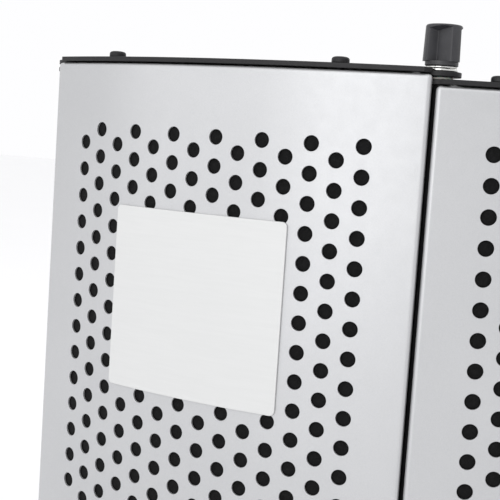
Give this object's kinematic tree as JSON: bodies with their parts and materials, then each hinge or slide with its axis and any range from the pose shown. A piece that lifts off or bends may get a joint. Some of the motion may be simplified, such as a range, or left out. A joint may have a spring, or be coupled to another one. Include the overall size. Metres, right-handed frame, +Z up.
{
  "type": "microphone isolation shield",
  "caption": "Folding microphone isolation shield: curved perforated metal centre, hinged side wings, foam lining, stand bar below.",
  "frame": {"origin": "centre of the stand socket's mouth, where the thread of a microphone stand goes in", "axes": "+Z up, the convex metal side faces -Y, the foam side faces +Y, +X to the right seen from the metal side"},
  "size_m": [0.4207, 0.1973, 0.3913],
  "materials": {
    "silver_skin": "fine silver paint on perforated sheet, satin",
    "black_steel": "fine-textured black powder coat",
    "badge": "smooth light satin, blank",
    "knob_plastic": "matte moulded plastic",
    "chrome": "bright plated",
    "zinc": "zinc plated",
    "nylon": "natural nylon, matte",
    "foam": "open-cell acoustic foam, charcoal",
    "fleece": "black acoustic fleece"
  },
  "bodies": {
    "centre": {"badge_plate": "badge", "bar_screw_1": "black_steel", "bar_screw_2": "black_steel", "centre_bottom_plate": "black_steel", "centre_bottom_screw_1": "black_steel", "centre_bottom_screw_2": "black_steel", "centre_fleece": "fleece", "centre_foam": "foam", "centre_skin": "silver_skin", "centre_top_plate": "black_steel", "centre_top_screw_1": "black_steel", "centre_top_screw_2": "black_steel", "left_bolt_spacer": "nylon", "left_hinge_bolt": "black_steel", "left_knob_spacer": "nylon", "left_spring_washer": "chrome", "left_washer": "chrome", "mount_bar": "black_steel", "right_bolt_spacer": "nylon", "right_hinge_bolt": "black_steel", "right_knob_spacer": "nylon", "right_spring_washer": "chrome", "right_washer": "chrome", "stand_lock_nut": "zinc", "stand_socket": "black_steel"},
    "left_wing": {"left_hinge_post": "black_steel", "left_wing_bottom_plate": "black_steel", "left_wing_bottom_screw_1": "black_steel", "left_wing_bottom_screw_2": "black_steel", "left_wing_fleece": "fleece", "left_wing_foam": "foam", "left_wing_skin": "silver_skin", "left_wing_top_plate": "black_steel", "left_wing_top_screw_1": "black_steel", "left_wing_top_screw_2": "black_steel"},
    "right_wing": {"right_hinge_post": "black_steel", "right_wing_bottom_plate": "black_steel", "right_wing_bottom_screw_1": "black_steel", "right_wing_bottom_screw_2": "black_steel", "right_wing_fleece": "fleece", "right_wing_foam": "foam", "right_wing_skin": "silver_skin", "right_wing_top_plate": "black_steel", "right_wing_top_screw_1": "black_steel", "right_wing_top_screw_2": "black_steel"},
    "left_knob": {"left_knob": "knob_plastic", "left_stud": "zinc"},
    "right_knob": {"right_knob": "knob_plastic", "right_stud": "zinc"},
    "mic_post": {"mic_post": "chrome", "post_washer": "zinc"},
    "lock_wheel": {"post_lock_wheel": "knob_plastic"}
  },
  "joints": [
    {"name": "left_fold", "type": "hinge", "parent": "centre", "child": "left_wing", "pos_m": [-0.1287, -0.02333, 0.2029], "axis": [0, 0, -1], "range_deg": [-90, 0]},
    {"name": "right_fold", "type": "hinge", "parent": "centre", "child": "right_wing", "pos_m": [0.1287, -0.02333, 0.2029], "axis": [0, 0, 1], "range_deg": [-7, 83]},
    {"name": "left_knob_turn", "type": "hinge", "parent": "centre", "child": "left_knob", "pos_m": [-0.1287, -0.02333, 0.0253], "axis": [0, 0, 1], "continuous": true},
    {"name": "right_knob_turn", "type": "hinge", "parent": "centre", "child": "right_knob", "pos_m": [0.1287, -0.02333, 0.3805], "axis": [0, 0, 1], "continuous": true},
    {"name": "mic_post_slide", "type": "slide", "parent": "centre", "child": "mic_post", "axis": [0, 1, 0], "range_m": [-0.038, 0.038]},
    {"name": "lock_wheel_turn", "type": "hinge", "parent": "mic_post", "child": "lock_wheel", "pos_m": [0, 0.072, 0.02], "axis": [0, 0, 1], "continuous": true}
  ]
}
